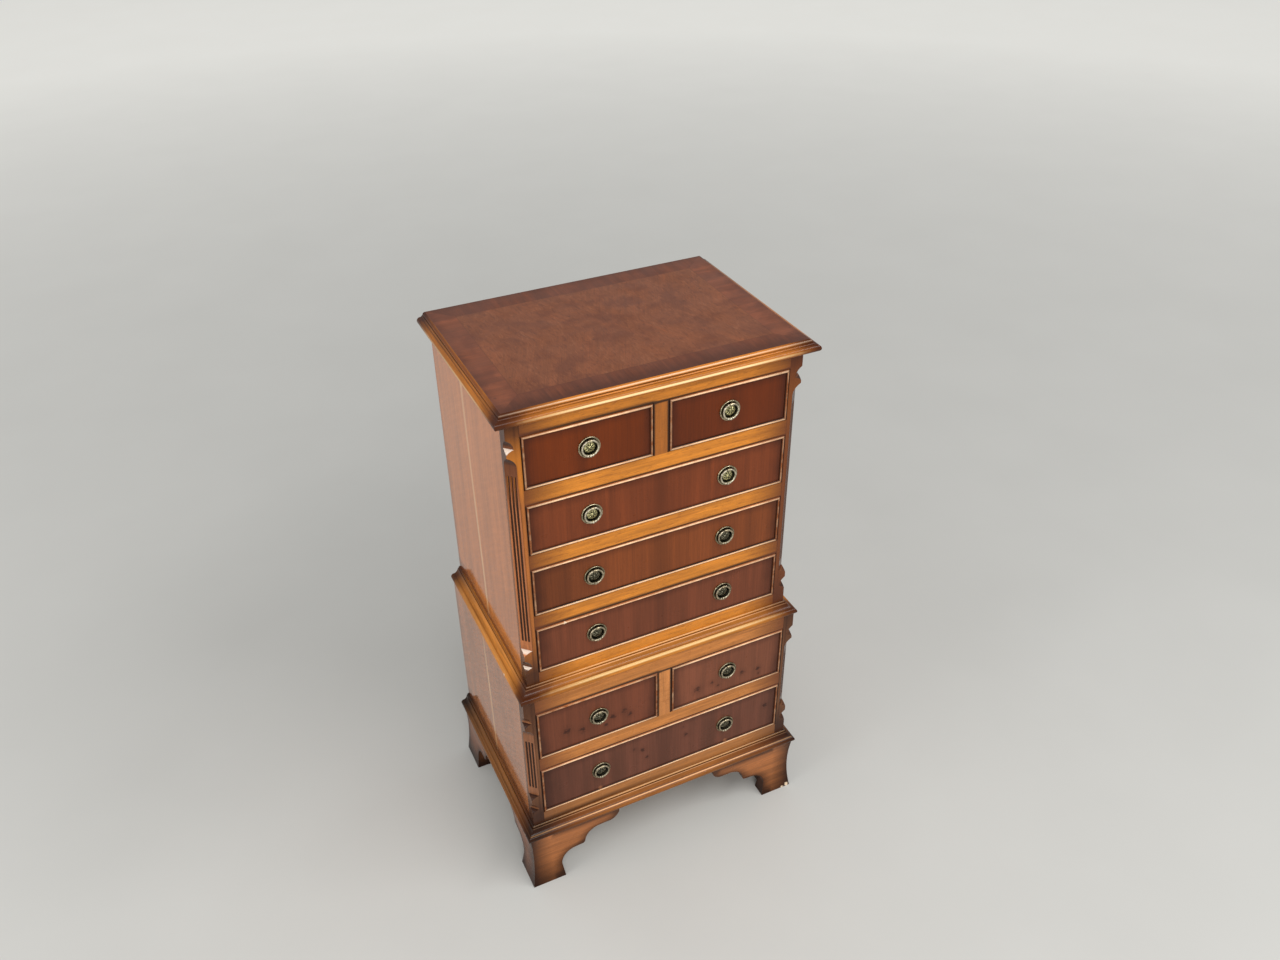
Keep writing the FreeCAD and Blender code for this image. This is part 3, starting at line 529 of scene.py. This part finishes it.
def moulding_wood(name, tone, side_tone, projection, marks, corner, corner_tone, spots):
    """Run mouldings: grain along each length, painted shade in the quirks and cove, painted highlights along
    beads and noses, stain at mitres and back ends.

    A length belongs to the side where it lies beyond the 45 degree line from the front corner; there the
    stain from the corner fades sooner. Each mark is a line along the moulding, given by how far it stands
    out from the case, how high up the section it lies and how far it reaches, all in mm, its strength on
    the front and on the sides, and its tone. Marks fade towards the corner, wide ones to nothing."""
    look = begin("stained_hardwood_" + name)
    tree = look.tree
    low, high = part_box(name)
    front, relief = timber(tree, look.point, ACROSS, tone, 51, 8, 0.9, 0.14)
    side, _ = timber(tree, look.point, DEEP, side_tone, 52, 8, 0.9, 0.14)
    across = maths(tree, "ABSOLUTE", look.x)
    past = maths(tree, "ADD", across, look.y)
    past = maths(tree, "SUBTRACT", past, high.x + low.y)
    on_side = maths(tree, "GREATER_THAN", past, 0.0)
    colour = blend(tree, on_side, front, side)
    out_side = maths(tree, "SUBTRACT", across, high.x)
    out_front = maths(tree, "SUBTRACT", low.y, look.y)
    out = maths(tree, "MAXIMUM", out_side, out_front)
    section = put(tree, "CombineXYZ", {"X": out, "Z": look.z})
    blot = put(tree, "TexNoise", {"Vector": look.point, "Scale": 1 / (11 * MM), "Detail": 3.0})
    fade_rate = ramp(tree, on_side, 0.0, 1.0, 1.0, 1.5)
    off = maths(tree, "MULTIPLY", away(tree, past, 0.0), fade_rate)
    off = maths(tree, "MULTIPLY_ADD", blot, -18 * MM, off)
    rightward = maths(tree, "GREATER_THAN", look.x, 0.0)
    off = maths(tree, "MULTIPLY_ADD", rightward, 0.2 * corner * MM, off)
    colour = stain(tree, colour, off, 0.4 * corner * MM, 2.1 * corner * MM, 0.75, RED_STAIN)
    colour = stain(tree, colour, off, 0.1 * corner * MM, corner * MM, 0.88, corner_tone)
    thin_fade = ramp(tree, off, 0.0, 115 * MM, 0.2, 1.0)
    wide_fade = ramp(tree, off, 18 * MM, 115 * MM)
    # Pale marks are painted highlights; black and brown ones in the quirks and the cove are painted shade
    for mark_out, mark_up, reach, on_fronts, on_sides, mark_tone in marks:
        place = ((mark_out - projection) * MM, 0, low.z + mark_up * MM)
        beyond = gap(tree, section, place)
        strength = ramp(tree, on_side, 0.0, 1.0, on_fronts, on_sides)
        strength = maths(tree, "MULTIPLY", strength, wide_fade if reach > 2 else thin_fade)
        colour = stain(tree, colour, beyond, reach * 0.4 * MM, reach * MM, strength, mark_tone)
    end = maths(tree, "SUBTRACT", high.y, look.y)
    end = maths(tree, "MULTIPLY_ADD", blot, -18 * MM, end)
    colour = stain(tree, colour, end, 50 * MM, 170 * MM, 0.3, corner_tone)
    colour = stain(tree, colour, end, 2 * MM, 46 * MM, 0.92, corner_tone)
    colour = chips(look, colour, spots)
    return polish(look, colour, relief, (0.16, 0.26), 0.18)


def foot_wood(name, spots):
    """Swept bracket feet: red-brown with level grain, dark at the corner, the sawn scroll and the floor; at
    the floor the rear feet are darker still with painted shadow.

    Painted shadow darkens the sides under the moulding, and painted shade the surfaces that face down. On
    the
    front feet the arrises are rubbed pale: there the surface turns away from its own rounded edge."""
    look = begin("stained_hardwood_" + name)
    tree = look.tree
    rear = name.startswith("rear")
    front, relief = timber(tree, look.point, ACROSS, "#a4663b", 61, 12, 1.1, 0.16)
    side, _ = timber(tree, look.point, DEEP, "#7d5038", 62, 12, 1.1, 0.16)
    normal = put(tree, "NewGeometry").outputs["Normal"]
    facing = put(tree, "SeparateXYZ", {"Vector": normal}).outputs
    on_side = maths(tree, "ABSOLUTE", facing[0])
    on_side = ramp(tree, on_side, 0.65, 0.75)
    colour = blend(tree, on_side, front, side)
    sawn = put(tree, "AmbientOcclusion", {"Distance": 18 * MM}, samples=8, only_local=True, inside=True)
    inward = maths(tree, "ABSOLUTE", look.x)
    inward = maths(tree, "SUBTRACT", FOOT_SIDE, inward)
    behind = maths(tree, "SUBTRACT", look.y, FOOT_FRONT)
    corner = maths(tree, "MAXIMUM", inward, behind)
    clear = ramp(tree, corner, 49 * MM, 37 * MM)
    sawn = maths(tree, "MAXIMUM", clear, sawn.outputs["AO"])
    colour = stain(tree, colour, sawn, 0.5, 1.0, 0.85, "#2a140b")
    colour = stain(tree, colour, corner, 5 * MM, 38 * MM, 0.94, "#2c150c")
    # Darker towards the floor; on the rear feet more, as painted shadow
    colour = stain(tree, colour, look.z, 0.0, 60 * MM, 0.95 if rear else 0.78, "#25120a")
    to_head = maths(tree, "MULTIPLY_ADD", on_side, 20 * MM, look.z)
    shadow = maths(tree, "MULTIPLY", on_side, 0.85)
    colour = stain(tree, colour, to_head, 124 * MM, 102 * MM, shadow, "#1d0f09")
    # Painted shade on the surfaces that face down
    colour = stain(tree, colour, facing[2], -0.5, -0.2, 0.8, "#29140b")
    eased = put(tree, "Bevel", {"Radius": 1.2 * MM}, samples=6)
    rubbed = put(tree, "VectorMath", {0: eased, 1: normal}, operation="DOT_PRODUCT").outputs["Value"]
    colour = stain(tree, colour, rubbed, 0.75, 0.92, 0.0 if rear else 0.1, "#b98a5c")
    colour = chips(look, colour, spots)
    return polish(look, colour, relief, (0.22, 0.36), 0.12)


def plain_board(name, tone, along, seed):
    """Unpolished inside boards: sawn softwood with wide growth bands, dry and matt."""
    look = begin(name)
    colour, relief = timber(look.tree, look.point, along, tone, seed, 14, 1.6, 0.16)
    dirt = put(look.tree, "TexNoise", {"Vector": look.point, "Scale": 1 / (70 * MM), "Detail": 4.0})
    colour = stain(look.tree, colour, dirt, 0.75, 0.5, 0.35, "#5d4025")
    return polish(look, colour, relief, (0.55, 0.75), 0.2, 0.12)


# Brass
def aged_brass(name, rubbed, dull, drawer=None):
    """Cast brass gone dull: rubbed pale on rims and rings, green-black in the ground of the plates."""
    look = begin(name)
    tree = look.tree
    shader = tree.nodes["Principled BSDF"]
    cloudy = {"Scale": 1 / (3 * MM), "Detail": 5.0, "Roughness": 0.6}
    cloud = put(tree, "TexNoise", {"Vector": look.point, **cloudy})
    tarnish = ramp(tree, cloud, 0.42, 0.66)
    colour = blend(tree, tarnish, rubbed, dull)
    rough = ramp(tree, tarnish, 0.0, 1.0, 0.26, 0.45)
    if drawer:
        low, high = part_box("handle_plates_" + drawer)
        column = high.x - PLATE_RADIUS
        if drawer in SHORT_DRAWERS:
            column = min(abs(low.x), abs(high.x)) + PLATE_RADIUS
        off = maths(tree, "ABSOLUTE", look.x)
        off = put(tree, "CombineXYZ", {"X": off, "Z": look.z})
        middle = (column, 0, (low.z + high.z) / 2)
        off = gap(tree, off, middle)
        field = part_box("drawer_front_" + drawer)[0].y + FIELD_RECESS
        proud = maths(tree, "LESS_THAN", look.y, field - 3.3 * MM)
        off = maths(tree, "ADD", off, proud)
        inside, outside = GROUND_RADIUS - 0.3 * MM, GROUND_RADIUS + 0.3 * MM
        colour = stain(tree, colour, off, inside, outside, 0.95, "#15160e")
    tree.links.new(colour.outputs[2], shader.inputs["Base Color"])
    tree.links.new(rough.outputs[0], shader.inputs["Roughness"])
    shader.inputs["Metallic"].default_value = 1.0
    pits = put(tree, "TexNoise", {"Vector": look.point, "Scale": 1 / (0.9 * MM), "Detail": 2.0})
    bump = put(tree, "Bump", {"Height": pits, "Strength": 0.4, "Distance": 0.08 * MM})
    tree.links.new(bump.outputs[0], shader.inputs["Normal"])
    return look.material


# New pieces
def surface(name, points):
    """A mesh from a grid of points (rows, columns, 3); rows go from the middle out, columns run round."""
    rows, columns = points.shape[:2]
    index = np.arange(rows * columns).reshape(rows, columns)
    onward = np.roll(index, -1, 1)
    faces = np.stack((index[:-1], onward[:-1], onward[1:], index[1:]), -1).reshape(-1, 4)
    mesh = bpy.data.meshes.new(name)
    mesh.from_pydata(points.reshape(-1, 3).tolist(), [], faces.tolist())
    mesh.update()
    mesh.shade_smooth()
    piece = bpy.data.objects.new(name, mesh)
    bpy.context.scene.collection.objects.link(piece)
    return piece


def rosette(name, centre, body):
    """Cast flower on a ring plate: a low dome with ridges after the cosine of four times the angle.

    The outline swells and draws in with the same cosine, so eight petals show. A button stands in the middle
    in a round groove, and the last row of points turns the edge down into the plate. Sizes are in mm."""
    flower_radius = 8.2
    dome_radius = 8.6
    button_radius = 1.9
    groove_radius = 2.7
    plate_thickness = 1.4
    turn = np.linspace(0, 2 * np.pi, 144, endpoint=False)
    share = np.concatenate((np.linspace(0.02, 1, 26), [1.0]))[:, None]
    petal = np.abs(np.cos(4 * turn))[None, :]
    reach = flower_radius * (0.8 + 0.2 * petal**0.6)
    radius = share * reach
    height = 0.55 + 1.55 * (1 - (radius / dome_radius) ** 2)
    height = height + 1.2 * (petal - 0.78) * np.sin(np.pi * np.clip((share - 0.25) / 0.75, 0, 1))
    height = height + 0.5 * np.exp(-((radius / button_radius) ** 4))
    height = height - 0.35 * np.exp(-(((radius - groove_radius) / 0.6) ** 2))
    height = np.where(np.arange(len(share))[:, None] == len(share) - 1, -0.1, height)
    spread = np.stack((radius * np.cos(turn), -height - plate_thickness, radius * np.sin(turn)), -1)
    piece = surface(name, np.array(centre) + spread * MM)
    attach(piece, body)
    return piece


def dress(node, material):
    """Gives a CAD node its one material."""
    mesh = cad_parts[node].data
    mesh.materials.clear()
    mesh.materials.append(material)


# The case
dress("top_board", top_veneer())
side_seeds = {"upper": 11, "lower": 14}
for case, seed in side_seeds.items():
    for hand in ("left", "right"):
        name = f"polished_veneer_side_{case}_{hand}"
        dress(f"{case}_side_{hand}", side_veneer(name, case, seed + (hand == "right"), hand == "left"))
    dress(f"{case}_front_rails", rail_wood(case))
    dress(f"{case}_corner_posts", post_wood(case))

# Marks and knocks of the mouldings, as moulding_wood and chips take them. Pale marks are painted highlights,
# black and brown ones in the quirks and the cove painted shade, and the rest darken the side lengths
edge_highlight_and_shade_marks = [
    (7.0, 16.0, 3.2, 0.0, 0.7, "#6e3416"),
    (9.1, 13.2, 1.2, 0.8, 0.6, BLACK_STAIN_AND_SHADE),
    (11.9, 11.0, 1.2, 0.7, 0.5, BROWN_STAIN_AND_SHADE),
    (7.2, 15.4, 1.5, 0.7, 0.0, "#f2d0aa"),
    (18.0, 6.0, 2.2, 0.9, 0.35, "#ffe2a8"),
]
edge_knocks = [((-241, 32, 910), 3.0)]
# Bead marks: darker on the side lengths, painted highlights on the front, painted shade in the quirk
bead_highlight_and_shade_marks = [
    (2.4, 22.2, 2.2, 0.0, 0.6, "#63300f"),
    (2.4, 22.2, 1.3, 0.5, 0.0, "#fcc88c"),
    (5.2, 18.9, 1.3, 0.85, 0.0, "#f8be8c"),
    (3.5, 20.0, 1.1, 0.65, 0.6, BLACK_STAIN_AND_SHADE),
]
# Waist moulding adds painted shade in the cove and a quirk, and a painted highlight along the nose
waist_highlight_and_shade_marks = bead_highlight_and_shade_marks + [
    (7.6, 14.8, 5.0, 0.4, 0.0, "#7d4c1c"),
    (11.6, 11.6, 1.3, 0.6, 0.3, BROWN_STAIN_AND_SHADE),
    (15.0, 10.2, 3.2, 0.65, 0.1, "#ffdc98"),
]
waist_knocks = [((-242, -90, 418), 2.5), ((-222, -163, 430), 2.2)]
# Base moulding adds painted shade in a quirk and a painted highlight along the nose
base_highlight_and_shade_marks = bead_highlight_and_shade_marks + [
    (9.4, 12.0, 1.2, 0.7, 0.4, BLACK_STAIN_AND_SHADE),
    (11.2, 11.0, 1.5, 0.95, 0.1, "#ffc894"),
]
base_knocks = [((-253, -156, 119), 2.5)]
mouldings = {
    "top_moulding": ("#ba7029", "#ab6726", 18, edge_highlight_and_shade_marks, 38, BROWN_STAIN_AND_SHADE, edge_knocks),
    "waist_moulding": ("#b46f2a", "#ce8233", 18, waist_highlight_and_shade_marks, 40, BROWN_STAIN_AND_SHADE, waist_knocks),
    "base_moulding": ("#885326", "#805025", 16, base_highlight_and_shade_marks, 75, BLACK_STAIN_AND_SHADE, base_knocks),
}
for name, finish in mouldings.items():
    dress(name, moulding_wood(name, *finish))
for hand in ("left", "right"):
    knocks = [((246, -171, 3), 5.0), ((237, -171, 1), 4.0)] if hand == "right" else []
    dress(f"front_foot_{hand}", foot_wood(f"front_foot_{hand}", knocks))
    dress(f"rear_foot_{hand}", foot_wood(f"rear_foot_{hand}", []))
back_board = plain_board("plain_board_back", "#94704a", UP, 71)
shelf_board = plain_board("plain_board_carcase", "#9b7850", ACROSS, 72)
runner_board = plain_board("plain_board_runners", "#a48259", DEEP, 73)
lining = plain_board("waxed_drawer_lining", "#b08c5c", DEEP, 74)
for case in ("upper", "lower"):
    dress(f"{case}_back", back_board)
    dress(f"{case}_bottom", shelf_board)
    dress(f"{case}_runners", runner_board)
dress("lower_top", shelf_board)

# Drawers and ring handles
ring_brass = {
    "pale": aged_brass("rubbed_brass_rings", "#d9d0b8", "#7f7866"),
    "dark": aged_brass("dull_brass_rings", "#bfb399", "#665e4d"),
}
flower_brass = {
    "pale": aged_brass("green_brass_rosettes", "#c8bf8c", "#57573f"),
    "dark": aged_brass("black_brass_rosettes", "#7f7a66", "#26261e"),
}
plate_tones = {"pale": ("#cbbf9f", "#6b6148"), "dark": ("#b0a486", "#554c39")}
for seed, drawer in enumerate(DRAWERS):
    body = "drawer_" + drawer
    brass = "pale" if drawer in ("upper_left", "upper_right", "upper_second") else "dark"
    dress("drawer_front_" + drawer, drawer_veneer(drawer, 80 + 3 * seed))
    dress("drawer_box_" + drawer, lining)
    plates = aged_brass("tarnished_brass_plates_" + drawer, *plate_tones[brass], drawer)
    dress("handle_plates_" + drawer, plates)
    sides = ("",) if drawer in SHORT_DRAWERS else ("_left", "_right")
    for hand in sides:
        ring = f"ring_{drawer}{hand}"
        dress(ring, ring_brass[brass])
        low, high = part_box(ring)
        face_low, face_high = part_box("drawer_front_" + drawer)
        centre = ((low.x + high.x) / 2, face_low.y + FIELD_RECESS, (face_low.z + face_high.z) / 2)
        flower = rosette(f"rosette_{drawer}{hand}", centre, body)
        flower.data.materials.append(flower_brass[brass])


# Floor, light and camera
def floor_finish():
    """Pale matt studio floor with a faint mottle; far off it glows a little, to keep the background pale."""
    look = begin("pale_matt_floor")
    tree = look.tree
    cloud = put(tree, "TexNoise", {"Vector": look.point, "Scale": 3.0, "Detail": 4.0})
    colour = blend(tree, cloud, "#c6c5c0", "#cecdc8")
    far = put(tree, "VectorMath", {0: look.point}, operation="LENGTH").outputs["Value"]
    glow = ramp(tree, far, 0.9, 6.0, high=0.75)
    fade = ramp(tree, far, 7.0, 26.0, 1.0, 0.5)
    glow = maths(tree, "MULTIPLY", glow, fade)
    ray = put(tree, "LightPath").outputs
    seen = maths(tree, "MAXIMUM", ray["Is Camera Ray"], ray["Is Glossy Ray"])
    seen = maths(tree, "MAXIMUM", seen, ray["Is Transmission Ray"])
    glow = maths(tree, "MULTIPLY", glow, seen)
    shader = tree.nodes["Principled BSDF"]
    tree.links.new(colour.outputs[2], shader.inputs["Base Color"])
    tree.links.new(glow.outputs[0], shader.inputs["Emission Strength"])
    shader.inputs["Emission Color"].default_value = linear("#c6c5c0")
    shader.inputs["Roughness"].default_value = 0.9
    return look.material


around = np.linspace(0, 2 * np.pi, 96, endpoint=False)
spread = np.array((0.0, 0.5, 2.0, 6.0, 14.0, 40.0))[:, None]
level = np.zeros((len(spread), len(around)))
disc = np.stack((spread * np.cos(around), spread * np.sin(around), level), -1)
floor = surface("studio_floor", disc)
floor.data.materials.append(floor_finish())

world = bpy.data.worlds.new("soft_room_light")
bpy.context.scene.world = world
world.use_nodes = True
world.node_tree.nodes["Background"].inputs["Color"].default_value = linear("#b9babb")


def soft_lamp(name, place, target, wide, tall, watts):
    """A soft panel aimed at a point; places and sizes in metres."""
    light = bpy.data.lights.new(name, "AREA")
    light.shape = "RECTANGLE"
    light.size = wide
    light.size_y = tall
    light.energy = watts
    lamp = bpy.data.objects.new(name, light)
    lamp.location = place
    lamp.rotation_euler = (Vector(place) - Vector(target)).to_track_quat("Z", "Y").to_euler()
    bpy.context.scene.collection.objects.link(lamp)


soft_lamp("overhead_panel", (0.9, -1.5, 2.5), (0, -0.1, 0.6), 2.4, 0.6, 38)
soft_lamp("front_panel", (-0.9, -3.0, 1.8), (0, 0, 0.5), 1.6, 1.6, 34)
soft_lamp("left_panel", (-2.8, -0.3, 1.6), (0, 0, 0.5), 1.6, 1.6, 26)

# The camera was solved from the photographed edges: lens in mm, place in metres, angles in degrees
lens = bpy.data.cameras.new("photo_camera")
lens.sensor_fit = "HORIZONTAL"
lens.sensor_width = 36
lens.lens = 31.32
camera = bpy.data.objects.new("photo_camera", lens)
swing, rise, tilt = (math.radians(angle) for angle in (-25.361, 34.363, -0.596))
level_share = math.cos(rise)
outward = Vector((math.sin(swing) * level_share, -math.cos(swing) * level_share, math.sin(rise)))
camera.location = (-0.58412, -1.30781, 1.63124)
camera.rotation_euler = (outward.to_track_quat("Z", "Y") @ Quaternion((0, 0, 1), tilt)).to_euler()
bpy.context.scene.collection.objects.link(camera)
bpy.context.scene.camera = camera
bpy.context.scene.view_settings.view_transform = "Standard"
